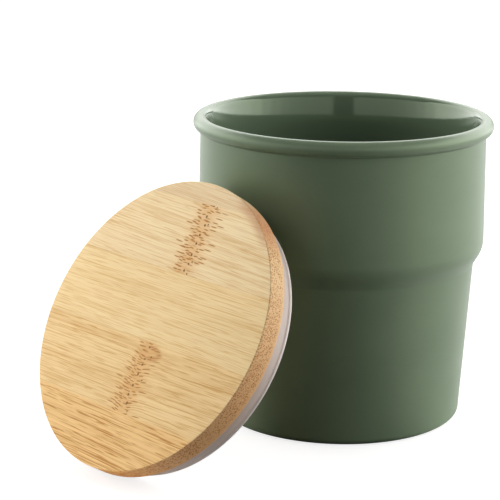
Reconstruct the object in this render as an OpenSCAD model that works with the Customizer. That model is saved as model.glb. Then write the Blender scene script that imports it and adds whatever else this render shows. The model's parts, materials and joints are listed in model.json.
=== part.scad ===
// Glazed ceramic storage jar with a bamboo lid and a silicone seal.
// The jar is turned about Z and its foot stands on Z = 0. The lid is taken off:
// it stands on the ground in front of the jar, at -Y, and leans back against the wall.
// All sizes are millimetres.

/* [Jar] */
// Height from the ground to the crest of the rim
jar_h = 107.4; // [98:0.2:125]
// Outside diameter of the rolled rim
rim_d = 105.6; // [100:0.2:112]
// Thickness of the rolled rim
rim_t = 5.2; // [4.6:0.1:5.4]
// Height of the rim, from its crest to the crease under it
rim_h = 5.4; // [5.2:0.1:7]
// How far the rim stands out from the wall under it
rim_overhang = 2.5; // [2:0.1:3]
// How much the upper wall widens from the rim down to the shoulder, on the radius
belly = 0.5; // [0:0.1:1.2]
// Thickness of the wall
wall_t = 4.4; // [3.8:0.1:5]
// Thickness of the bottom, above the recess in the foot
bottom_t = 4.6; // [3:0.1:7]
// Radius of the curve in which the mouth flares from the neck up to the rim
mouth_round = 36; // [30:1:50]

/* [Shoulder] */
// Height at which the shoulder starts to stand out from the lower wall
step_z = 56.4; // [46:0.2:62]
// How far the shoulder stands out from the lower wall, on the radius
step_out = 3.3; // [2.4:0.1:4.2]
// Slope of the shoulder, measured from the vertical
step_slope = 31; // [24:1:42]
// Radius that rounds the shoulder off into the upper wall
step_round = 10; // [6:0.5:12]

/* [Foot] */
// How much the lower wall narrows from the shoulder down to the foot, on the radius
taper = 3.4; // [1.6:0.1:5]
// Round on the outer edge of the foot
foot_round = 2.2; // [1:0.1:3]
// Width of the ring that the jar stands on
foot_ring_w = 4; // [3:0.2:6]
// Depth of the recess inside the foot ring
foot_recess = 1.6; // [0.8:0.1:2.4]

/* [Lid] */
// How far the edge of the lid stays inside the rim's outer edge, on the radius
head_setback = 2.3; // [1.4:0.1:3]
// Thickness of the top layer of bamboo
head_t = 7.4; // [6:0.2:9]
// Round on the upper edge of the lid
head_round = 0.4; // [0.2:0.1:1]
// Round on the lower edge of the top layer
head_under_round = 0.7; // [0.3:0.1:1.2]
// Width of one bamboo slat
slat_w = 24.75; // [22:0.25:27]
// Distance from the middle of the lid up to the middle of its first full slat
slat_offset = 31; // [30:0.125:32.25]
// Height of the plug, the lower layer of bamboo that reaches into the mouth
plug_h = 7.6; // [6.6:0.1:9]
// Chamfer on the lower edge of the plug
plug_chamfer = 0.5; // [0.2:0.1:1]
// Gap between the plug and the neck of the jar, on the radius
plug_gap = 1.8; // [1.5:0.1:2.3]
// Depth of the groove in the plug that holds the seal
groove_d = 1.6; // [1:0.1:2.4]
// Height of that groove
groove_h = 2.6; // [2:0.1:3.2]

/* [Seal] */
// Thickness of the seal's sleeve round the plug
seal_t = 1.7; // [1.2:0.1:1.8]
// Radius of the round lip
lip_round = 0.8; // [0.5:0.1:1]
// How much wider the relaxed lip is than the mouth where it seals, on the radius
lip_squeeze = 1.35; // [1.1:0.05:1.6]
// How far the lip ends above the bottom of the plug
lip_inset = 0.2; // [0.1:0.1:0.8]
// Clearance between the seal and the bamboo
seal_fit = 0.1; // [0.05:0.05:0.2]

/* [Resting place of the lid] */
// Tilt of the lid that leans against the jar, from lying flat
lean = 58.5; // [52:0.5:66]
// Gap left between the leaning lid and the wall of the jar
lean_gap = 0.3; // [0.2:0.1:0.6]
// Height of the leaning lid's lowest point over the ground
ground_gap = 0.05; // [0:0.05:0.2]

/* [Hidden] */
$fn = 96;

HEAD_COLOURS = ["#e3c48e", "#e6c993", "#e8cb95", "#e2c084", "#dbb679"];
PLUG_COLOURS = ["#d9b883", "#dcbb86", "#d6b47e", "#dab984"];
HEAD_SLATS = len(HEAD_COLOURS);
PLUG_SLATS = len(PLUG_COLOURS);

// Rim: a roll whose section is a circle that runs into the wall at a crease
roll_r = rim_t / 2;
roll_x = rim_d / 2 - roll_r;
roll_z = jar_h - roll_r;
roll_start = 65;
crease_z = jar_h - rim_h;
crease_r = rim_d / 2 - rim_overhang;

// Upper wall and shoulder: a straight slope that a large round leads into the wall
belly_r = crease_r + belly;
lower_r = belly_r - step_out;
slope_out = step_out - step_round * (1 - cos(step_slope));
slope_top_z = step_z + slope_out / tan(step_slope);
shoulder_z = slope_top_z + step_round * sin(step_slope);

// Foot
foot_r = lower_r - taper;
ring_inner_r = foot_r - foot_round - foot_ring_w;
floor_z = foot_recess + bottom_t;

// Upright neck, and over it the mouth, a curve that meets the roll at mouth_slope
neck_r = crease_r - wall_t;
mouth_slope = acos((neck_r + mouth_round - roll_x) / (mouth_round - roll_r));
neck_z = roll_z - (mouth_round - roll_r) * sin(mouth_slope);

// Inside of the jar below the neck, one wall thickness in from the outside
inner_low_r = lower_r - wall_t;
inner_foot_r = foot_r - wall_t + taper * floor_z / step_z;
inner_round = 1.6 * wall_t;

// Lid in its own frame: the underside of the top layer is on z = 0, its face looks up
head_r = rim_d / 2 - head_setback;
plug_r = neck_r - plug_gap;
groove_top = -(plug_h - groove_h) / 2;
groove_bottom = groove_top - groove_h;
lip_bottom = lip_inset - plug_h;
lip_z = lip_bottom + lip_round;
mouth_at_lip = neck_r + mouth_round - sqrt(mouth_round ^ 2 - (jar_h + lip_z - neck_z) ^ 2);
lip_ring_r = mouth_at_lip + lip_squeeze - lip_round;
lip_end = 60;

// Resting place: the lip stands on the ground and its top meets the wall of the jar
lip_centre_z = lip_ring_r * sin(lean) + lip_round + ground_gap;
touch_z = lip_centre_z + lip_ring_r * sin(lean);
touch_r = touch_z > crease_z - wall_t ? rim_d / 2 : upper_wall_r(max(touch_z, shoulder_z));
lip_centre_y = -(touch_r + lean_gap + lip_round + lip_ring_r * cos(lean));

// Radius of the upper wall at a height between the shoulder and the crease
function upper_wall_r(z) = crease_r + belly * (crease_z - z) / (crease_z - shoulder_z);

// Points of an arc about [x, y] with radius r, from angle a to angle b
function arc(x, y, r, a, b, steps = 8) =
    [for (i = [0:steps]) let (t = a + (b - a) * i / steps) [x + r * cos(t), y + r * sin(t)]];

// Half section of the jar, from the recess in the foot up the outside and down the inside
function jar_outline() = concat(
    [[0, foot_recess], [ring_inner_r - foot_recess, foot_recess], [ring_inner_r, 0]],
    arc(foot_r - foot_round, foot_round, foot_round, -90, 0),
    [[lower_r, step_z]],
    arc(belly_r - step_round, shoulder_z, step_round, -step_slope, 0, 6),
    [[crease_r, crease_z]],
    arc(roll_x, roll_z, roll_r, -roll_start, 180 - mouth_slope, 22),
    [for (i = [1:10]) mouth_point(mouth_slope * (1 - i / 10))],
    [[neck_r, shoulder_z], [inner_low_r, step_z]],
    arc(inner_foot_r - inner_round, floor_z + inner_round, inner_round, 0, -90),
    [[0, floor_z]]
);

// A point of the mouth's curve where its slope from the vertical is s
function mouth_point(s) =
    [neck_r + mouth_round * (1 - cos(s)), neck_z + mouth_round * sin(s)];

module jar_body() {
    color("#6d8060") rotate_extrude() polygon(jar_outline());
}

// Moves a piece of the lid from the lid's own frame to where the lid leans
module leaning() {
    translate([0, lip_centre_y, lip_centre_z])
        rotate([lean, 0, 0])
            translate([0, 0, -lip_z])
                children();
}

// Top layer of the lid, as one board
module head_disc() {
    rotate_extrude() polygon(concat(
        [[0, 0]],
        arc(head_r - head_under_round, head_under_round, head_under_round, -90, 0, 5),
        arc(head_r - head_round, head_t - head_round, head_round, 0, 90, 6),
        [[0, head_t]]
    ));
}

// Lower layer of the lid, with the groove for the seal
module plug_disc() {
    rotate_extrude() polygon([
        [0, -plug_h], [plug_r - plug_chamfer, -plug_h], [plug_r, plug_chamfer - plug_h],
        [plug_r, groove_bottom], [plug_r - groove_d, groove_bottom],
        [plug_r - groove_d, groove_top], [plug_r, groove_top],
        [plug_r, 0], [0, 0]
    ]);
}

// Joint line i of the top layer, from the upper edge of the leaning lid down: the second
// slat is the first full one, and the others follow it
function head_joint(i) = slat_offset + slat_w * (1.5 - i);

// Joint line i of the plug, whose slats lie across those of the top layer
function plug_joint(i) = slat_w * (i - PLUG_SLATS / 2);

// Slat i of the top layer: the first and the last reach to the edge of the lid
module head_slat(i) {
    high = i == 1 ? 2 * head_r : head_joint(i - 1);
    low = i == HEAD_SLATS ? -2 * head_r : head_joint(i);
    color(HEAD_COLOURS[i - 1]) leaning() intersection() {
        head_disc();
        translate([-2 * head_r, low, -head_t]) cube([4 * head_r, high - low, 3 * head_t]);
    }
}

// Slat i of the plug: the first and the last reach to the edge of the plug
module plug_slat(i) {
    low = i == 1 ? -2 * plug_r : plug_joint(i - 1);
    high = i == PLUG_SLATS ? 2 * plug_r : plug_joint(i);
    color(PLUG_COLOURS[i - 1]) leaning() intersection() {
        plug_disc();
        translate([low, -2 * plug_r, -2 * plug_h]) cube([high - low, 4 * plug_r, 3 * plug_h]);
    }
}

// Soft seal: a rib in the groove, a sleeve round the plug and a lip that flares out
module seal_ring() {
    inner_r = plug_r + seal_fit;
    rib_r = inner_r - groove_d;
    rib_top = groove_top - seal_fit;
    rib_bottom = groove_bottom + seal_fit;
    color("#c9bfc0") leaning() rotate_extrude() polygon(concat(
        [[inner_r, -seal_fit], [inner_r, rib_top], [rib_r, rib_top]],
        [[rib_r, rib_bottom], [inner_r, rib_bottom], [inner_r, lip_bottom]],
        arc(lip_ring_r, lip_z, lip_round, -90, lip_end),
        seal_flare()
    ));
}

// Outer face of the seal, from the lip up to the top of the sleeve
function seal_flare(steps = 8) =
    let (
        lip_x = lip_ring_r + lip_round * cos(lip_end),
        lip_y = lip_z + lip_round * sin(lip_end),
        sleeve_r = plug_r + seal_t
    )
    [for (i = [1:steps]) let (t = i / steps)
        [lip_x + (sleeve_r - lip_x) * sin(90 * t), lip_y - (seal_fit + lip_y) * t]];

jar_body();
head_slat(1);  // head_slat_1
head_slat(2);  // head_slat_2
head_slat(3);  // head_slat_3
head_slat(4);  // head_slat_4
head_slat(5);  // head_slat_5
plug_slat(1);  // plug_slat_1
plug_slat(2);  // plug_slat_2
plug_slat(3);  // plug_slat_3
plug_slat(4);  // plug_slat_4
seal_ring();
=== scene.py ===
"""Glazed storage jar with its bamboo lid leaning against it, dressed for rendering."""
import json
from math import acos, atan2, cos, degrees, pi, radians, sin, tan

import bpy
from mathutils import Matrix, Vector


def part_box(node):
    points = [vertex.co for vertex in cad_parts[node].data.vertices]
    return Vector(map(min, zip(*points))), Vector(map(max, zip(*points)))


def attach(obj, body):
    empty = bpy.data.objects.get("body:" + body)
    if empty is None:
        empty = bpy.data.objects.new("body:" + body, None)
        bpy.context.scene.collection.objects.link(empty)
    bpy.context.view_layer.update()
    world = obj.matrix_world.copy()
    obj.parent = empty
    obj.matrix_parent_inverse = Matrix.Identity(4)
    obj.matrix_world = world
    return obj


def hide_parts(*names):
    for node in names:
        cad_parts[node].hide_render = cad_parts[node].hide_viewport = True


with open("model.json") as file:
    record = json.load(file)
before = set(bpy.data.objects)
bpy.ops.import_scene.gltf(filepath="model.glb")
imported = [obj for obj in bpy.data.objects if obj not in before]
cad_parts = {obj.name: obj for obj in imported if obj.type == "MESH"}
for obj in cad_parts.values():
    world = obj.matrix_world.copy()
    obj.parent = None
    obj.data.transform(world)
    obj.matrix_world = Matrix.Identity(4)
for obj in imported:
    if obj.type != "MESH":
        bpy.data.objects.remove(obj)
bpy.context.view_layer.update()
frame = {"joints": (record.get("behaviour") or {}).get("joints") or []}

MM = 0.001

# ---------------------------------------------------------------- sizes, in millimetres

# The jar, from the frame's own box and the sections of its wall
_, jar_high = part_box("jar_body")
JAR_H = jar_high.z / MM
RIM_R = jar_high.x / MM
RIM_T = 5.2
CREASE_Z = JAR_H - 5.4
CREASE_R = RIM_R - 2.5
WALL_T = 4.4
BELLY = 0.5
MOUTH_ROUND = 36
STEP_Z = 56.4
STEP_OUT = 3.3
STEP_SLOPE = radians(31)
STEP_ROUND = 10
TAPER = 3.4
FOOT_ROUND = 2.2
FOOT_RING_W = 4
FOOT_RING_ROUND = 0.8
FOOT_RECESS = 1.6
FLOOR_T = 4.6
FLOOR_Z = FOOT_RECESS + FLOOR_T
INNER_ROUND = 1.6 * WALL_T
INNER_STEP_RUN = 2
INNER_STEP_EASE = 0.1
ROLL_START = -65
# The hollow corners under the step and under the roll, eased by points out and up from each
STEP_HOLLOW = ((-0.02, -0.4), (0.12, 0.12))
CREASE_HOLLOW = ((0.01, -0.4), (0.05, -0.1), (0.2, 0.04), (0.5, 0.2))

# The lid, in its own frame: the underside of the head is on z = 0 and its face looks up
HEAD_R = RIM_R - 2.3
HEAD_T = 7.4
HEAD_ROUND = 0.4
HEAD_UNDER_ROUND = 0.7
SLAT_W = 24.75
SECOND_SLAT_MIDDLE = 31
PLUG_R = CREASE_R - WALL_T - 1.8
PLUG_H = 7.6
PLUG_CHAMFER = 0.5
GROOVE_D = 1.6
GROOVE_H = 2.6
SEAL_T = 1.7
SEAL_FIT = 0.1
LIP_ROUND = 0.8
LIP_LIFT = 0.2
LIP_Z = LIP_LIFT - PLUG_H + LIP_ROUND
LIP_END = 60
FLARE_STEPS = 14
JOINT_EASE = 0.08

# Where the lid leans: its tilt is that of the way it is lifted, its place is that of the seal
lift = Vector(frame["joints"][0]["axis"])
LEAN = atan2(-lift.y, lift.z)
seal_low, seal_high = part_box("seal_ring")
LIP_RING_R = (seal_high.x - seal_low.x) / MM / 2 - LIP_ROUND
lip_y = seal_high.y / MM - LIP_ROUND - LIP_RING_R * cos(LEAN)
lip_z = seal_low.z / MM + LIP_ROUND + LIP_RING_R * sin(LEAN)
LEANING = (
    Matrix.Translation((0, lip_y * MM, lip_z * MM))
    @ Matrix.Rotation(LEAN, 4, "X")
    @ Matrix.Translation((0, 0, -LIP_Z * MM))
)

ROUND_STEPS = 240
SMOOTH_ANGLE = 32
JAR_SMOOTH_ANGLE = 40


# ---------------------------------------------------------------- camera, floor and lights

CAMERA_AZIMUTH = 44.5
CAMERA_DISTANCE = 0.6262
CAMERA_HEIGHT = 0.2194
CAMERA_LENS = 129.6
CAMERA_YAW = 2.96
CAMERA_PITCH = 14.49
CAMERA_ROLL = 0.596

# Directions of lights are in degrees to the right of the camera, places in metres
LEFT_LIGHT = 4.0
RIGHT_LIGHT = 4.1
BACK_LIGHT = 3.3
TOP_LIGHT = 0.5
FILL_LIGHT = 0.15
LEFT_FRONT_SHARE = 0.54
FAR_LEFT_FRONT_SHARE = 0.3
WALL_DISTANCE = 1.1
WALL_TOP = 1.1
BACK_WALL_FOOT = 0.25
TOP_PANEL_SIZE = 1.5
TOP_PANEL_Z = 1.4

# The cards in front are dim, with a gap between them, and brighten toward the sides
CARD_LIGHT = 1.12
CARD_LEFT_GAIN = 1.9
CARD_RIGHT_GAIN = 2.6
CARD_POWER = 3.5
CARD_STEPS = 8
CARD_GAP = 9.5
CARD_WIDTH = (90 - CARD_GAP) / CARD_STEPS
CARD_TOP = 0.8

# The floor, in metres: how it glows where it is seen, and how much light it sends back
FLOOR_SIZE = 8
FLOOR_DROP = 0.1 * MM
PAPER = (0.4, 0.4, 0.4, 1)
GLOW_NEAR = 0.76
GLOW_FAR = 1.1
GLOW_FROM = 0.5
GLOW_TO = 3
BOUNCE_BEHIND = 0.8
BOUNCE_IN_FRONT = 0.08
BOUNCE_BY_LID = 0.85
FRONT_FROM = 0.5
FRONT_TO = 0.95
LID_PATCH_FROM_FOOT = Vector((0.018, -0.02, 0))
LID_PATCH_EDGE = 0.052
LID_PATCH_FULL = 0.034


def around(azimuth, distance, height):
    """A place round the jar; azimuth 0 is in front of the lid, at -Y, and 90 is at +X."""
    turn = radians(azimuth)
    return Vector((sin(turn) * distance, -cos(turn) * distance, height))


def make_camera():
    camera = bpy.data.objects.new("camera", bpy.data.cameras.new("camera"))
    bpy.context.scene.collection.objects.link(camera)
    camera.data.lens = CAMERA_LENS
    camera.matrix_world = (
        Matrix.Translation(around(CAMERA_AZIMUTH, CAMERA_DISTANCE, CAMERA_HEIGHT))
        @ Matrix.Rotation(radians(CAMERA_AZIMUTH + CAMERA_YAW), 4, "Z")
        @ Matrix.Rotation(radians(90 - CAMERA_PITCH), 4, "X")
        @ Matrix.Rotation(radians(CAMERA_ROLL), 4, "Z")
    )
    bpy.context.scene.camera = camera


def wall(name, start, end, brightness, low=0, high=WALL_TOP):
    """A standing white panel between two directions and two heights, facing the jar."""
    light = bpy.data.lights.new(name, "AREA")
    light.shape = "RECTANGLE"
    light.size = 2 * WALL_DISTANCE * tan(radians(end - start) / 2)
    light.size_y = high - low
    light.energy = brightness * pi * light.size * light.size_y
    made = bpy.data.objects.new(name, light)
    bpy.context.scene.collection.objects.link(made)
    made.location = around(CAMERA_AZIMUTH + (start + end) / 2, WALL_DISTANCE, (low + high) / 2)
    outward = Vector((made.location.x, made.location.y, 0))
    made.rotation_euler = outward.to_track_quat("Z", "Y").to_euler()
    return made


def make_lights():
    """Soft walls at both sides and behind; in front only cards that gloss picks up."""
    wall("left_wall", -150, -90, LEFT_LIGHT)
    wall("right_wall", 90, 150, RIGHT_LIGHT)
    wall("back_wall", 150, 210, BACK_LIGHT, low=BACK_WALL_FOOT)
    for name, start, end, brightness in (
        ("left_front_wall_1", -90, -62, LEFT_LIGHT * LEFT_FRONT_SHARE),
        ("left_front_wall_2", -62, -36, LEFT_LIGHT * FAR_LEFT_FRONT_SHARE),
        ("right_front_wall", 52, 90, RIGHT_LIGHT),
    ):
        soft = wall(name, start, end, brightness)
        soft.visible_glossy = False
    for side, gain in ((-1, CARD_LEFT_GAIN), (1, CARD_RIGHT_GAIN)):
        for step in range(CARD_STEPS):
            inner = side * (CARD_GAP + CARD_WIDTH * step)
            outer = side * (CARD_GAP + CARD_WIDTH * (step + 1))
            brightness = CARD_LIGHT + gain * (step / (CARD_STEPS - 1)) ** CARD_POWER
            name = f"card_{side * (step + 1)}"
            card = wall(name, min(inner, outer), max(inner, outer), brightness, high=CARD_TOP)
            card.visible_diffuse = False
    top = bpy.data.lights.new("top_panel", "AREA")
    top.size = TOP_PANEL_SIZE
    top.energy = TOP_LIGHT * pi * top.size ** 2
    made = bpy.data.objects.new("top_panel", top)
    bpy.context.scene.collection.objects.link(made)
    made.location = (0, 0, TOP_PANEL_Z)


def make_world():
    """White behind the scene; a soft glow for what mirrors it; no light of its own."""
    world = bpy.data.worlds.new("studio")
    bpy.context.scene.world = world
    world.use_nodes = True
    tree = world.node_tree
    tree.nodes.clear()
    rays = add(tree, "ShaderNodeLightPath").outputs
    direct = math_node(tree, "MAXIMUM", rays["Is Camera Ray"], rays["Is Transmission Ray"])
    glow = math_node(tree, "MULTIPLY_ADD", rays["Is Glossy Ray"], FILL_LIGHT, direct)
    sky = add(tree, "ShaderNodeBackground", {"Color": (1, 1, 1, 1), "Strength": glow})
    add(tree, "ShaderNodeOutputWorld", {"Surface": sky.outputs[0]})


def make_floor():
    """A pale floor: white where it is looked at, and darker in the light that it sends back."""
    bpy.ops.object.select_all(action="DESELECT")
    bpy.ops.mesh.primitive_plane_add(size=FLOOR_SIZE, location=(0, 0, -FLOOR_DROP))
    floor = bpy.context.object
    floor.name = "floor"
    material = bpy.data.materials.new("pale_floor")
    material.use_nodes = True
    tree = material.node_tree
    tree.nodes.clear()
    paper = add(tree, "ShaderNodeBsdfDiffuse", {"Color": PAPER})
    ground = add(tree, "ShaderNodeTexCoord").outputs["Object"]
    far = vector_value(tree, "LENGTH", ground)
    glow = add(tree, "ShaderNodeEmission", {
        "Color": (1, 1, 1, 1), "Strength": ramp(tree, far, GLOW_FROM, GLOW_TO, GLOW_NEAR, GLOW_FAR),
    })
    seen = add(tree, "ShaderNodeAddShader", {0: paper.outputs[0], 1: glow.outputs[0]})

    # What comes back from the floor: much behind and beside the jar, little from the front,
    # and much again just in front of where the lid stands
    to_camera = around(CAMERA_AZIMUTH, 1, 0)
    in_front = vector_value(tree, "DOT_PRODUCT", unit(tree, ground), to_camera)
    shade = ramp(tree, in_front, FRONT_FROM, FRONT_TO, BOUNCE_BEHIND, BOUNCE_IN_FRONT)
    lid_foot = LEANING @ Vector((0, -HEAD_R * MM, HEAD_T * MM))
    from_patch = vector_value(tree, "DISTANCE", ground, lid_foot + LID_PATCH_FROM_FOOT)
    patch = ramp(tree, from_patch, LID_PATCH_EDGE, LID_PATCH_FULL, 0, BOUNCE_BY_LID)
    bounce = add(tree, "ShaderNodeBsdfDiffuse", {"Color": math_node(tree, "MAXIMUM", shade, patch)})

    rays = add(tree, "ShaderNodeLightPath").outputs
    direct = math_node(tree, "MAXIMUM", rays["Is Camera Ray"], rays["Is Transmission Ray"])
    mixed = add(tree, "ShaderNodeMixShader", {
        0: direct, 1: bounce.outputs[0], 2: seen.outputs[0],
    })
    add(tree, "ShaderNodeOutputMaterial", {"Surface": mixed.outputs[0]})
    floor.data.materials.append(material)


# ---------------------------------------------------------------- shader helpers


def add(tree, kind, inputs=None, **settings):
    """Adds a node, sets its options, and fills or links its inputs by name or number."""
    made = tree.nodes.new(kind)
    for key, value in settings.items():
        setattr(made, key, value)
    for key, value in (inputs or {}).items():
        if isinstance(value, bpy.types.NodeSocket):
            tree.links.new(value, made.inputs[key])
        else:
            made.inputs[key].default_value = value
    return made


def math_node(tree, operation, *values):
    return add(tree, "ShaderNodeMath", dict(enumerate(values)), operation=operation).outputs[0]


def vector_value(tree, operation, *vectors):
    """A number from vectors, such as their distance or dot product."""
    made = add(tree, "ShaderNodeVectorMath", dict(enumerate(vectors)), operation=operation)
    return made.outputs["Value"]


def unit(tree, vector):
    return add(tree, "ShaderNodeVectorMath", {0: vector}, operation="NORMALIZE").outputs[0]


def colour(code):
    """Linear colour from a hex code such as #e6c58f."""
    levels = [int(code[i : i + 2], 16) / 255 for i in (1, 3, 5)]
    return tuple(v / 12.92 if v <= 0.04045 else ((v + 0.055) / 1.055) ** 2.4 for v in levels) + (1,)


def mix_colour(tree, factor, first, second, blend="MIX"):
    made = add(tree, "ShaderNodeMix", data_type="RGBA", blend_type=blend)
    for socket, value in ((0, factor), (6, first), (7, second)):
        if isinstance(value, bpy.types.NodeSocket):
            tree.links.new(value, made.inputs[socket])
        else:
            made.inputs[socket].default_value = value
    return made.outputs[2]


def ramp(tree, value, low, high, to_low=0.0, to_high=1.0):
    """Value mapped smoothly from low..high to to_low..to_high."""
    return add(tree, "ShaderNodeMapRange", {
        "Value": value, "From Min": low, "From Max": high, "To Min": to_low, "To Max": to_high,
    }, interpolation_type="SMOOTHSTEP").outputs[0]


def stretched(tree, vector, scale):
    return add(tree, "ShaderNodeVectorMath", {0: vector, 1: scale}, operation="MULTIPLY").outputs[0]


def noise(tree, vector, seed, detail=2.0, roughness=0.5):
    made = add(tree, "ShaderNodeTexNoise", {
        "Vector": vector, "W": seed, "Scale": 1.0, "Detail": detail, "Roughness": roughness,
    }, noise_dimensions="4D")
    return made.outputs[0]


def swing(tree, value, reach, base=0.0):
    """Base, moved up and down as a noise of 0..1 swings about its middle."""
    return math_node(tree, "MULTIPLY_ADD", math_node(tree, "SUBTRACT", value, 0.5), reach, base)


def squared(tree, value, size):
    """The square of a value counted in sizes."""
    return math_node(tree, "POWER", math_node(tree, "DIVIDE", value, size), 2)


def bell(tree, square):
    """1 where the square is 0, and softly down to 0 as it grows."""
    return math_node(tree, "EXPONENT", math_node(tree, "MULTIPLY", square, -1))


def lid_coordinates(tree):
    """Object coordinates brought into the lid's own frame, in millimetres."""
    return add(tree, "ShaderNodeMapping", {
        "Vector": add(tree, "ShaderNodeTexCoord").outputs["Object"],
        "Location": LEANING.to_translation(), "Rotation": (LEAN, 0, 0), "Scale": (MM, MM, MM),
    }, vector_type="TEXTURE").outputs[0]


def give_relief(tree, shader, height, strength):
    relief = add(tree, "ShaderNodeBump", {
        "Strength": strength, "Distance": RELIEF_DEPTH, "Height": height,
    })
    tree.links.new(relief.outputs[0], shader.inputs["Normal"])


def new_group(name, inputs, outputs):
    """An empty node group with (name, type, default) inputs and (name, type) outputs."""
    group = bpy.data.node_groups.new(name, "ShaderNodeTree")
    for label, kind, default in inputs:
        socket = group.interface.new_socket(label, in_out="INPUT", socket_type="NodeSocket" + kind)
        socket.default_value = default
    for label, kind in outputs:
        group.interface.new_socket(label, in_out="OUTPUT", socket_type="NodeSocket" + kind)
    source = group.nodes.new("NodeGroupInput")
    sink = group.nodes.new("NodeGroupOutput")
    return group, source.outputs, sink.inputs


def new_material(name):
    material = bpy.data.materials.new(name)
    material.use_nodes = True
    tree = material.node_tree
    return material, tree, tree.nodes["Principled BSDF"]


# ---------------------------------------------------------------- bamboo

# Places and sizes of the pattern are in millimetres, in the lid's own frame. A stretch says
# how many cells of a noise go into a millimetre along the fibres, across them and in depth.
# A fade is what ramp takes: from and to, and where it matters the values at both.

# Stripes and dashes
WIDE_STRIPES = (0.01, 0.16, 0.16)
MIDDLE_STRIPES = (0.016, 1.5, 1.5)
FINE_STRIPES = (0.05, 3.2, 3.2)
WIDE_DEPTH = 0.9
MIDDLE_DEPTH = 0.65
FINE_DEPTH = 0.9
TONE = 0.88
SHORT_DASHES = (0.1, 3.4, 3.4)
SHORT_DASH_FADE = (0.55, 0.64)
LONG_DASHES = (0.035, 2.6, 2.6)
LONG_DASH_FADE = (0.56, 0.66)
DASH_DEPTH = -0.42
DASH_SEED_STEP = 9

# How the fibres wander
DRIFT_STRETCH = (0.016, 0.07, 0.07)
DRIFT = 0.6
SWIRL_STRETCH = (0.22, 0.4, 0.3)
SWIRL = 1.5

# The node ring, its knot, and the brown curl about the knot
NODE_HALF_W = 4.6
NODE_WANDER_STRETCH = (0, 0.16, 0.1)
NODE_WANDER = 2
NODE_TAN = "#e0a866"
NODE_TAN_SHARE = 0.5
KNOT_BESIDE = 1.5
KNOT_HALF_W = 5.2
KNOT_HALF_H = 2.2
KNOT_PARTING = -0.5
CURL_PLACE = 0.8
CURL_W = 0.5
CURL_SIDE_FADE = (-3.5, 2.5, 0.25, 1)
CURL_STRIPE_FADE = (0.4, 0.6, 0.25, 0.9)
CURL_BROWN = "#c08044"

# The turned edge, where fibres are cut across, its painted shade toward the lower side, and a
# reddish patch
ACROSS_FADE = (0.25, 0.6)
SIDE_FADE = (0.75, 0.35)
END_STRETCH = (0.09, 2.0, 2.0)
END_DOT_FADE = (0.66, 0.2)
END_DOT_RISE = (0.4, 2.2, 0.15, 1)
END_PALE = "#d6b78c"
END_DARK = "#9c6b3a"
# Painted shade: the turned edge is multiplied darker and browner toward the lower side of the
# leaning lid
EDGE_SHADE_TINT = "#ffe9d8"
EDGE_SHADE_FADE = (45, -25)
# A reddish patch high up on the turned edge, at the right
RED_PATCH_PLACE = (27, 42.5, 6)
RED_PATCH_FADE = (16, 5)
RED_PATCH_RIM_FADE = (46.5, 50)
RED_PATCH_COLOUR = "#b86f48"
RED_PATCH_SHARE = 0.5

# What stands out of the surface and what lies in it
RELIEF_DEPTH = 0.05 * MM
BAMBOO_RELIEF = 0.15
FINE_RELIEF = 0.5
DASH_RELIEF = -0.4
PIT_RELIEF = -1.5

# Small marks in the node ring
MARK_STAGGER = -0.45
MARK_FADE = (1.3, 0.25)
STROKE_BROWN = "#b5722f"
STROKE_SHARE = 0.9
PIT_BROWN = "#6a3c08"
PIT_SHARE = 0.92

# Columns of marks in the node ring: offset from its middle, pitch, half width and half height
# of a mark, wobble, and the share of the marks that are there
PIT_COLUMNS = (
    (0.6, 3.3, 0.5, 0.46, 1.3, 1.6),
    (2.7, 4.7, 0.36, 0.32, 1.6, 1.0),
)
STROKE_COLUMNS = (
    (-4.0, 1.1, 1.3, 0.26, 1.6, 0.95),
    (-2.2, 0.95, 1.1, 0.24, 1.4, 1.0),
    (-0.4, 1.2, 1.3, 0.24, 1.8, 0.9),
    (2.0, 1.3, 1.2, 0.26, 1.8, 0.9),
    (4.2, 1.6, 1.6, 0.24, 2.4, 0.8),
    (6.6, 2.2, 2.0, 0.22, 3.0, 0.6),
    (-6.4, 1.8, 2.0, 0.22, 3.0, 0.6),
)


def make_marks():
    """Small oval marks one under another in a column along Y, each a little out of place."""
    tree, given, out = new_group(
        "column_of_marks",
        [
            ("Position", "Vector", (0, 0, 0)),
            ("Middle", "Float", 0.0),
            ("Pitch", "Float", 4.0),
            ("Half Width", "Float", 0.5),
            ("Half Height", "Float", 0.4),
            ("Wobble", "Float", 0.5),
            ("Share", "Float", 1.0),
            ("Seed", "Float", 0.0),
        ],
        [("Mask", "Float")],
    )
    x, y, _ = add(tree, "ShaderNodeSeparateXYZ", {0: given["Position"]}).outputs
    row_place = math_node(tree, "DIVIDE", y, given["Pitch"])
    row = math_node(tree, "ROUND", row_place)
    chance = add(tree, "ShaderNodeTexWhiteNoise", {
        "Vector": add(tree, "ShaderNodeCombineXYZ", {0: row, 1: given["Middle"]}).outputs[0],
        "W": given["Seed"],
    }, noise_dimensions="4D").outputs["Color"]
    first, second, third = add(tree, "ShaderNodeSeparateColor", {0: chance}).outputs
    x_off = math_node(tree, "MULTIPLY", math_node(tree, "SUBTRACT", first, 0.5), given["Wobble"])
    x_off = math_node(tree, "SUBTRACT", math_node(tree, "SUBTRACT", x, given["Middle"]), x_off)
    y_off = math_node(tree, "SUBTRACT", row_place, row)
    y_off = math_node(tree, "MULTIPLY", swing(tree, second, MARK_STAGGER, y_off), given["Pitch"])
    across = squared(tree, x_off, given["Half Width"])
    upright = squared(tree, y_off, given["Half Height"])
    inside = ramp(tree, math_node(tree, "ADD", across, upright), *MARK_FADE)
    there = ramp(tree, third, given["Share"], math_node(tree, "MULTIPLY", given["Share"], 0.5))
    tree.links.new(math_node(tree, "MULTIPLY", inside, there), out["Mask"])
    return tree


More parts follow.
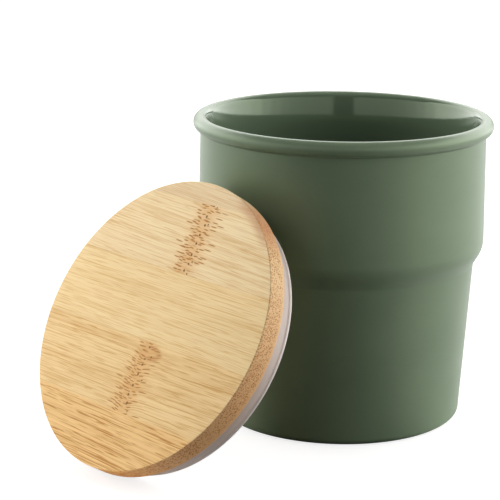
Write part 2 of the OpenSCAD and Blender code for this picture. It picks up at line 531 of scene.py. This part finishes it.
def node_band(tree, given, place, x):
    """The band across the fibres where a stem had its node ring; it wanders a little."""
    wander = noise(tree, stretched(tree, place, NODE_WANDER_STRETCH), given["Seed"])
    from_node = math_node(tree, "SUBTRACT", x, given["Node Place"])
    from_node = swing(tree, wander, NODE_WANDER, from_node)
    band = bell(tree, squared(tree, from_node, NODE_HALF_W))
    return math_node(tree, "MULTIPLY", band, given["Node Strength"])


def knot_and_curl(tree, given, x, above_knot):
    """A knot beside the node ring, and the brown curl about it, stronger on its far side."""
    beside = math_node(tree, "SUBTRACT", x, given["Node Place"])
    beside = math_node(tree, "SUBTRACT", beside, KNOT_BESIDE)
    reach = math_node(tree, "ADD", squared(tree, beside, KNOT_HALF_W),
                      squared(tree, above_knot, KNOT_HALF_H))
    knot = math_node(tree, "MULTIPLY", bell(tree, reach), given["Knot Strength"])
    curl = bell(tree, squared(tree, math_node(tree, "SUBTRACT", reach, CURL_PLACE), CURL_W))
    curl = math_node(tree, "MULTIPLY", curl, ramp(tree, beside, *CURL_SIDE_FADE))
    return knot, math_node(tree, "MULTIPLY", curl, given["Knot Strength"])


def bent_fibres(tree, given, place, band, above_knot, knot):
    """Where a point lies among the fibres, which drift, swirl in the band and part at a knot."""
    x, y, z = add(tree, "ShaderNodeSeparateXYZ", {0: place}).outputs
    drift = noise(tree, stretched(tree, place, DRIFT_STRETCH), given["Seed"], 1)
    swirl = noise(tree, stretched(tree, place, SWIRL_STRETCH), given["Seed"], 1)
    shift = swing(tree, drift, DRIFT)
    shift = math_node(tree, "MULTIPLY_ADD", swing(tree, swirl, SWIRL), band, shift)
    shift = math_node(tree, "MULTIPLY_ADD", x, given["Tilt"], shift)
    shift = math_node(tree, "MULTIPLY_ADD", band, given["Node Dip"], shift)
    parted = math_node(tree, "MULTIPLY", above_knot, knot)
    parted = math_node(tree, "MULTIPLY", parted, KNOT_PARTING)
    bent = math_node(tree, "ADD", math_node(tree, "ADD", y, shift), parted)
    return add(tree, "ShaderNodeCombineXYZ", {0: x, 1: bent, 2: z}).outputs[0]


def dark_dashes(tree, given, fibre):
    """Thin straight dashes in the lines of the fibres: short ones and long ones."""
    seed = math_node(tree, "ADD", given["Seed"], DASH_SEED_STEP)
    short = noise(tree, stretched(tree, fibre, SHORT_DASHES), seed, 1)
    long = noise(tree, stretched(tree, fibre, LONG_DASHES), seed, 1)
    dashes = math_node(tree, "MAXIMUM", ramp(tree, short, *SHORT_DASH_FADE),
                       ramp(tree, long, *LONG_DASH_FADE))
    return math_node(tree, "MULTIPLY", dashes, given["Streaks"])


def columns_in_node(tree, given, marks, fibre, columns):
    """Columns of small marks side by side in the node ring."""
    mask = 0
    for offset, pitch, half_width, half_height, wobble, share in columns:
        mark = add(tree, "ShaderNodeGroup", {
            "Position": fibre, "Middle": math_node(tree, "ADD", given["Node Place"], offset),
            "Pitch": pitch, "Half Width": half_width, "Half Height": half_height,
            "Wobble": wobble, "Share": share, "Seed": given["Seed"],
        }, node_tree=marks).outputs[0]
        mask = math_node(tree, "MAXIMUM", mask, mark)
    return math_node(tree, "MULTIPLY", mask, given["Node Strength"])


def end_grain(tree, given, place, z):
    """Fibres cut across: they drink the oil and show as dots, crisper toward the face."""
    dots = add(tree, "ShaderNodeTexVoronoi", {
        "Vector": stretched(tree, place, END_STRETCH), "W": given["Seed"], "Scale": 1.0,
        "Randomness": 0.75,
    }, voronoi_dimensions="4D").outputs["Distance"]
    dots = ramp(tree, dots, *END_DOT_FADE)
    dots = math_node(tree, "MULTIPLY", dots, ramp(tree, z, *END_DOT_RISE))
    return mix_colour(tree, dots, colour(END_PALE), colour(END_DARK))


def edge_red_patch(tree, place):
    """A reddish patch on the turned edge, high up at the right."""
    near = ramp(tree, vector_value(tree, "DISTANCE", place, RED_PATCH_PLACE), *RED_PATCH_FADE)
    from_middle = vector_value(tree, "LENGTH", stretched(tree, place, (1, 1, 0)))
    return math_node(tree, "MULTIPLY", near, ramp(tree, from_middle, *RED_PATCH_RIM_FADE))


def make_bamboo_grain(marks):
    """Bamboo as a solid: fibres along X, with a node ring where a stem had one."""
    tree, given, out = new_group(
        "bamboo_grain",
        [
            ("Position", "Vector", (0, 0, 0)),
            ("Seed", "Float", 0.0),
            ("Light Colour", "Color", (1, 1, 1, 1)),
            ("Dark Colour", "Color", (0, 0, 0, 1)),
            ("Streaks", "Float", 1.0),
            ("Tilt", "Float", 0.01),
            ("Node Place", "Float", 0.0),
            ("Node Strength", "Float", 0.0),
            ("Node Dip", "Float", 0.0),
            ("Knot Height", "Float", 0.0),
            ("Knot Strength", "Float", 0.0),
            ("Across", "Float", 0.0),
            ("Side", "Float", 0.0),
        ],
        [("Colour", "Color"), ("Height", "Float")],
    )
    place = given["Position"]
    x, y, z = add(tree, "ShaderNodeSeparateXYZ", {0: place}).outputs
    band = node_band(tree, given, place, x)
    above_knot = math_node(tree, "SUBTRACT", y, given["Knot Height"])
    knot, curl = knot_and_curl(tree, given, x, above_knot)
    fibre = bent_fibres(tree, given, place, band, above_knot, knot)

    # Tone in wide, middling and fine stripes, and dark dashes
    wide = noise(tree, stretched(tree, fibre, WIDE_STRIPES), given["Seed"], 2)
    middle = noise(tree, stretched(tree, fibre, MIDDLE_STRIPES), given["Seed"], 2, 0.6)
    fine = noise(tree, stretched(tree, fibre, FINE_STRIPES), given["Seed"], 1, 0.6)
    dashes = dark_dashes(tree, given, fibre)
    tone = swing(tree, wide, WIDE_DEPTH, TONE)
    tone = swing(tree, middle, math_node(tree, "MULTIPLY", given["Streaks"], MIDDLE_DEPTH), tone)
    tone = swing(tree, fine, FINE_DEPTH, tone)
    tone = math_node(tree, "MULTIPLY_ADD", dashes, DASH_DEPTH, tone)
    tone = math_node(tree, "MINIMUM", math_node(tree, "MAXIMUM", tone, 0.0), 1.0)
    painted = mix_colour(tree, tone, given["Dark Colour"], given["Light Colour"])

    # The node ring: tan, with a brown curl, short strokes and darker pits
    pits = columns_in_node(tree, given, marks, fibre, PIT_COLUMNS)
    strokes = columns_in_node(tree, given, marks, fibre, STROKE_COLUMNS)
    curl = math_node(tree, "MULTIPLY", curl, ramp(tree, middle, *CURL_STRIPE_FADE))
    for mask, most, code in (
        (band, NODE_TAN_SHARE, NODE_TAN),
        (curl, 1, CURL_BROWN),
        (strokes, STROKE_SHARE, STROKE_BROWN),
        (pits, PIT_SHARE, PIT_BROWN),
    ):
        share = math_node(tree, "MULTIPLY", mask, most)
        painted = mix_colour(tree, share, painted, colour(code))

    # The turned edge: end grain, painted shade that makes it darker and browner toward the lower
    # side of the lid, and a reddish patch
    painted = mix_colour(tree, given["Across"], painted, end_grain(tree, given, place, z))
    browner_painted_shade = math_node(tree, "MULTIPLY", ramp(tree, y, *EDGE_SHADE_FADE), given["Side"])
    painted = mix_colour(tree, browner_painted_shade, painted, colour(EDGE_SHADE_TINT), "MULTIPLY")
    red_patch = math_node(tree, "MULTIPLY", edge_red_patch(tree, place), RED_PATCH_SHARE)
    painted = mix_colour(tree, red_patch, painted, colour(RED_PATCH_COLOUR))
    tree.links.new(painted, out["Colour"])

    height = math_node(tree, "MULTIPLY", dashes, DASH_RELIEF)
    height = math_node(tree, "MULTIPLY_ADD", fine, FINE_RELIEF, height)
    height = math_node(tree, "MULTIPLY_ADD", pits, PIT_RELIEF, height)
    tree.links.new(height, out["Height"])
    return tree


def bamboo(name, group, light, dark, seed, across=False, **features):
    """Oiled bamboo of one slat; across is for slats whose fibres run up the lid."""
    material, tree, shader = new_material(name)
    place = lid_coordinates(tree)
    turn = LEANING.to_3x3()
    fibres = Vector((1, 0, 0))
    if across:
        place = add(tree, "ShaderNodeMapping", {
            "Vector": place, "Rotation": (0, 0, pi / 2),
        }).outputs[0]
        fibres = turn @ Vector((0, 1, 0))
    normal = add(tree, "ShaderNodeNewGeometry").outputs["Normal"]
    to_fibres = math_node(tree, "ABSOLUTE", vector_value(tree, "DOT_PRODUCT", normal, fibres))
    to_face = vector_value(tree, "DOT_PRODUCT", normal, turn @ Vector((0, 0, 1)))
    to_face = math_node(tree, "ABSOLUTE", to_face)
    grain = add(tree, "ShaderNodeGroup", node_tree=group)
    grain.inputs["Seed"].default_value = seed
    grain.inputs["Light Colour"].default_value = colour(light)
    grain.inputs["Dark Colour"].default_value = colour(dark)
    for key, value in features.items():
        grain.inputs[key.replace("_", " ").title()].default_value = value
    tree.links.new(place, grain.inputs["Position"])
    tree.links.new(ramp(tree, to_fibres, *ACROSS_FADE), grain.inputs["Across"])
    tree.links.new(ramp(tree, to_face, *SIDE_FADE), grain.inputs["Side"])
    tree.links.new(grain.outputs["Colour"], shader.inputs["Base Color"])
    give_relief(tree, shader, grain.outputs["Height"], BAMBOO_RELIEF)
    shader.inputs["Roughness"].default_value = 0.5
    shader.inputs["Specular IOR Level"].default_value = 0.05
    return material


# ---------------------------------------------------------------- glaze and silicone

GLAZE_DEEP = "#607059"
GLAZE_PALE = "#67775f"
GLAZE_INSIDE_SHADE = "#576552"
GLAZE_SHINE = "#ebffd9"
BARE_CLAY = "#d8cdb8"
CLAY_FADE = (0.25, 0.05)
CLOUD_STRETCH = (0.03, 0.03, 0.05)
SPECK_STRETCH = (1.6, 1.6, 1.6)
SPECK_SHARE = 0.25
SPECK_ROUGH = 0.05
GLAZE_RELIEF = 0.12
SATIN_FADE = (-0.98, -0.3)
GLOSSY_ROUGH = 0.07
SATIN_ROUGH = 0.34
SEAL_SHADE_BY_WOOD = "#a5826f"
SEAL_FREE = "#dbd2ce"
SEAL_FADE = (0.4, -6.4)


def make_glaze():
    """Green glaze: satin outside, glossy inside and painted darker there as painted shade, bare
    clay under the foot ring.
    """
    material, tree, shader = new_material("green_glaze")
    place = add(tree, "ShaderNodeTexCoord").outputs["Object"]
    millimetres = stretched(tree, place, (1 / MM, 1 / MM, 1 / MM))
    cloud = noise(tree, stretched(tree, millimetres, CLOUD_STRETCH), 1.0, 3)
    speck = noise(tree, stretched(tree, millimetres, SPECK_STRETCH), 2.0, 2)
    tone = math_node(tree, "MULTIPLY", cloud, 1 - SPECK_SHARE)
    tone = math_node(tree, "MULTIPLY_ADD", speck, SPECK_SHARE, tone)
    painted = mix_colour(tree, ramp(tree, tone, 0.3, 0.7), colour(GLAZE_DEEP), colour(GLAZE_PALE))
    shader.inputs["Specular Tint"].default_value = colour(GLAZE_SHINE)

    # How much the surface looks away from the jar's axis: 1 outside, -1 inside
    normal = add(tree, "ShaderNodeNewGeometry").outputs["Normal"]
    outward = unit(tree, stretched(tree, place, (1, 1, 0)))
    satin = ramp(tree, vector_value(tree, "DOT_PRODUCT", normal, outward), *SATIN_FADE)
    # Inside the jar the colour is painted darker and greyer: painted shade in its hollow
    painted = mix_colour(tree, satin, colour(GLAZE_INSIDE_SHADE), painted)

    height = add(tree, "ShaderNodeSeparateXYZ", {0: millimetres}).outputs[2]
    bare = ramp(tree, height, *CLAY_FADE)
    painted = mix_colour(tree, bare, painted, colour(BARE_CLAY))
    tree.links.new(painted, shader.inputs["Base Color"])
    rough = ramp(tree, satin, 0, 1, GLOSSY_ROUGH, SATIN_ROUGH)
    rough = math_node(tree, "MULTIPLY_ADD", speck, SPECK_ROUGH, rough)
    tree.links.new(math_node(tree, "MAXIMUM", rough, bare), shader.inputs["Roughness"])
    give_relief(tree, shader, speck, GLAZE_RELIEF)
    return material


def make_silicone():
    """Milky silicone: tinted by the wood under its sleeve, with painted contact shade and a painted
    reflection of the wood there, pale at the free lip.
    """
    material, tree, shader = new_material("milky_silicone")
    depth = add(tree, "ShaderNodeSeparateXYZ", {0: lid_coordinates(tree)}).outputs[2]
    free = ramp(tree, depth, *SEAL_FADE)
    # Darker and pinker near the wood: the wood's tint, painted contact shade and a painted
    # reflection of the wood
    painted = mix_colour(tree, free, colour(SEAL_SHADE_BY_WOOD), colour(SEAL_FREE))
    tree.links.new(painted, shader.inputs["Base Color"])
    shader.inputs["Roughness"].default_value = 0.42
    shader.inputs["Transmission Weight"].default_value = 0.2
    shader.inputs["IOR"].default_value = 1.41
    return material


# ---------------------------------------------------------------- modelling


def arc(x, z, radius, start, end, steps=8):
    """Points of an arc about (x, z), from one angle in degrees to another."""
    turns = [radians(start + (end - start) * i / steps) for i in range(steps + 1)]
    return [(x + radius * cos(t), z + radius * sin(t)) for t in turns]


def turned(name, outline):
    """A closed piece turned about Z from its half section, in millimetres."""
    bpy.ops.object.select_all(action="DESELECT")
    bpy.ops.mesh.primitive_plane_add(size=MM)
    piece = bpy.context.object
    piece.name = piece.data.name = name
    points = [Vector((x * MM, 0, z * MM)) for x, z in outline]
    bpy.ops.object.mode_set(mode="EDIT")
    bpy.ops.mesh.merge(type="CENTER")
    bpy.ops.transform.translate(value=points[0])
    for start, end in zip(points, points[1:]):
        bpy.ops.mesh.extrude_vertices_move(TRANSFORM_OT_translate={"value": end - start})
    bpy.ops.mesh.select_all(action="SELECT")
    bpy.ops.mesh.spin(steps=ROUND_STEPS, angle=2 * pi, center=(0, 0, 0), axis=(0, 0, 1))
    bpy.ops.mesh.select_all(action="SELECT")
    bpy.ops.mesh.remove_doubles(threshold=0.001 * MM)
    bpy.ops.mesh.normals_make_consistent(inside=False)
    bpy.ops.object.mode_set(mode="OBJECT")
    return piece


def copy_of(piece, name):
    made = piece.copy()
    made.data = piece.data.copy()
    made.name = made.data.name = name
    bpy.context.scene.collection.objects.link(made)
    return made


def edit_all(piece):
    """Opens a piece in edit mode with all of it selected."""
    bpy.ops.object.select_all(action="DESELECT")
    piece.select_set(True)
    bpy.context.view_layer.objects.active = piece
    bpy.ops.object.mode_set(mode="EDIT")
    bpy.ops.mesh.select_all(action="SELECT")


def cut_off(piece, point, outward):
    """Saws a piece off at a plane, closes the cut and eases its sharp edge."""
    edit_all(piece)
    bpy.ops.mesh.bisect(plane_co=point, plane_no=outward, use_fill=True, clear_outer=True)
    bpy.ops.mesh.bevel(offset=JOINT_EASE * MM, segments=1)
    bpy.ops.object.mode_set(mode="OBJECT")


def lean_back(piece):
    """Moves a piece from the lid's own frame to where the lid leans."""
    piece.data.transform(LEANING)


def saw_into_slats(board, name, joints, direction):
    """The slats of a board: copies of it, each sawn off at its joints along a direction."""
    slats = []
    for i in range(len(joints) + 1):
        slat = copy_of(board, f"{name}_{i + 1}")
        if i > 0:
            cut_off(slat, direction * joints[i - 1], -direction)
        if i < len(joints):
            cut_off(slat, direction * joints[i], direction)
        lean_back(slat)
        slats.append(slat)
    bpy.data.objects.remove(board)
    return slats


def finish_piece(piece, material, body, nodes, smooth_angle=SMOOTH_ANGLE):
    """Smooths a piece, gives it its finish and ties it to the frame."""
    bpy.ops.object.select_all(action="DESELECT")
    piece.select_set(True)
    bpy.context.view_layer.objects.active = piece
    bpy.ops.object.shade_smooth_by_angle(angle=radians(smooth_angle))
    piece.data.materials.clear()
    piece.data.materials.append(material)
    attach(piece, body)
    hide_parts(*nodes)


# ---------------------------------------------------------------- the pieces


def jar_outline():
    """Half section of the jar: up the outside, over the rim and down the inside."""
    roll = RIM_T / 2
    roll_x, roll_z = RIM_R - roll, JAR_H - roll
    belly_r = CREASE_R + BELLY
    lower_r = belly_r - STEP_OUT
    slope_top = STEP_Z + (STEP_OUT - STEP_ROUND * (1 - cos(STEP_SLOPE))) / tan(STEP_SLOPE)
    shoulder_z = slope_top + STEP_ROUND * sin(STEP_SLOPE)
    foot_r = lower_r - TAPER
    ring_r = foot_r - FOOT_ROUND - FOOT_RING_W

    neck_r = CREASE_R - WALL_T
    mouth_slope = acos((neck_r + MOUTH_ROUND - roll_x) / (MOUTH_ROUND - roll))
    neck_z = roll_z - (MOUTH_ROUND - roll) * sin(mouth_slope)
    roll_end = 180 - degrees(mouth_slope)

    inner_low_r = lower_r - WALL_T
    inner_foot_r = foot_r - WALL_T + TAPER * FLOOR_Z / STEP_Z
    return (
        [(0, FOOT_RECESS), (ring_r - 2 * FOOT_RECESS, FOOT_RECESS)]
        + arc(ring_r + FOOT_RING_ROUND, FOOT_RING_ROUND, FOOT_RING_ROUND, 180, 270, 4)
        + arc(foot_r - FOOT_ROUND, FOOT_ROUND, FOOT_ROUND, -90, 0, 10)
        + [(lower_r + x, STEP_Z + z) for x, z in STEP_HOLLOW]
        + arc(belly_r - STEP_ROUND, shoulder_z, STEP_ROUND, -degrees(STEP_SLOPE), 0, 14)
        + [(CREASE_R + x, CREASE_Z + z) for x, z in CREASE_HOLLOW]
        + arc(roll_x, roll_z, roll, ROLL_START, roll_end, 32)
        + arc(neck_r + MOUTH_ROUND, neck_z, MOUTH_ROUND, roll_end, 180, 20)[1:]
        + [(neck_r, shoulder_z + INNER_STEP_RUN), (neck_r - INNER_STEP_EASE, shoulder_z)]
        + [(inner_low_r + INNER_STEP_EASE, STEP_Z), (inner_low_r, STEP_Z - INNER_STEP_RUN)]
        + arc(inner_foot_r - INNER_ROUND, FLOOR_Z + INNER_ROUND, INNER_ROUND, 0, -90, 12)
        + [(0, FLOOR_Z)]
    )


def make_jar(glaze):
    jar = turned("glazed_jar", jar_outline())
    finish_piece(jar, glaze, "jar", ["jar_body"], JAR_SMOOTH_ANGLE)


def make_head(materials):
    """The top layer of the lid: a turned board of five slats, sawn apart at its joints."""
    board = turned("head_board", (
        [(0, 0)]
        + arc(HEAD_R - HEAD_UNDER_ROUND, HEAD_UNDER_ROUND, HEAD_UNDER_ROUND, -90, 0, 5)
        + arc(HEAD_R - HEAD_ROUND, HEAD_T - HEAD_ROUND, HEAD_ROUND, 0, 90, 8)
        + [(0, HEAD_T)]
    ))
    joints = [-(SECOND_SLAT_MIDDLE + SLAT_W * (1.5 - i)) * MM for i in range(1, 5)]
    slats = saw_into_slats(board, "bamboo_head_slat", joints, Vector((0, -1, 0)))
    for i, (slat, material) in enumerate(zip(slats, materials)):
        finish_piece(slat, material, "lid", [f"head_slat_{i + 1}"])


def make_plug(materials):
    """The lower layer, which reaches into the mouth, with the groove for the seal."""
    groove_top = -(PLUG_H - GROOVE_H) / 2
    groove_bottom = groove_top - GROOVE_H
    board = turned("plug_board", [
        (0, -PLUG_H), (PLUG_R - PLUG_CHAMFER, -PLUG_H), (PLUG_R, PLUG_CHAMFER - PLUG_H),
        (PLUG_R, groove_bottom), (PLUG_R - GROOVE_D, groove_bottom),
        (PLUG_R - GROOVE_D, groove_top), (PLUG_R, groove_top), (PLUG_R, 0), (0, 0),
    ])
    joints = [SLAT_W * i * MM for i in (-1, 0, 1)]
    slats = saw_into_slats(board, "bamboo_plug_slat", joints, Vector((1, 0, 0)))
    for i, (slat, material) in enumerate(zip(slats, materials)):
        finish_piece(slat, material, "lid", [f"plug_slat_{i + 1}"])


def make_seal(silicone):
    """The seal: a rib in the groove, a sleeve round the plug and a lip that flares out."""
    inner = PLUG_R + SEAL_FIT
    rib = inner - GROOVE_D
    rib_top = -(PLUG_H - GROOVE_H) / 2 - SEAL_FIT
    rib_bottom = rib_top - GROOVE_H + 2 * SEAL_FIT
    lip_x = LIP_RING_R + LIP_ROUND * cos(radians(LIP_END))
    lip_top = LIP_Z + LIP_ROUND * sin(radians(LIP_END))
    flare = [
        (lip_x + (PLUG_R + SEAL_T - lip_x) * sin(pi / 2 * t), lip_top - (SEAL_FIT + lip_top) * t)
        for t in (i / FLARE_STEPS for i in range(1, FLARE_STEPS + 1))
    ]
    outline = (
        [(inner, -SEAL_FIT), (inner, rib_top), (rib, rib_top), (rib, rib_bottom)]
        + [(inner, rib_bottom), (inner, LIP_Z - LIP_ROUND)]
        + arc(LIP_RING_R, LIP_Z, LIP_ROUND, -90, LIP_END, 12)
        + flare
        + [(inner, -SEAL_FIT)]
    )
    seal = turned("silicone_seal", outline)
    lean_back(seal)
    finish_piece(seal, silicone, "lid", ["seal_ring"])


bpy.context.scene.view_settings.view_transform = "Standard"
make_camera()
make_world()
make_lights()
make_floor()

# Each slat has its light colour, its dark colour and the seed of its grain
grain = make_bamboo_grain(make_marks())
make_jar(make_glaze())
make_head([
    bamboo("bamboo_slat_1", grain, "#f1d9b0", "#d5a86e", 3.1, streaks=0.8, tilt=0.06),
    bamboo("bamboo_slat_2", grain, "#f9e1b3", "#d7a664", 7.4, tilt=0.045,
           node_place=4.8, node_strength=1.0),
    bamboo("bamboo_slat_3", grain, "#f7dba5", "#d49f56", 12.2, streaks=0.9, tilt=0.006),
    bamboo("bamboo_slat_4", grain, "#f5d59c", "#cd954f", 17.8, streaks=1.25, tilt=-0.01,
           node_place=4.5, node_strength=0.9, node_dip=1.0,
           knot_height=-9.4, knot_strength=1.0),
    bamboo("bamboo_slat_5", grain, "#f5cd8e", "#c68b48", 23.5, streaks=1.95, tilt=0.01),
])
make_plug([
    bamboo("bamboo_plug_1", grain, "#cbb68e", "#a88a5e", 31.0, across=True),
    bamboo("bamboo_plug_2", grain, "#cdb891", "#aa8c61", 34.3, across=True),
    bamboo("bamboo_plug_3", grain, "#c9b38a", "#a6875b", 37.9, across=True),
    bamboo("bamboo_plug_4", grain, "#ccb790", "#a98b60", 41.6, across=True),
])
make_seal(make_silicone())
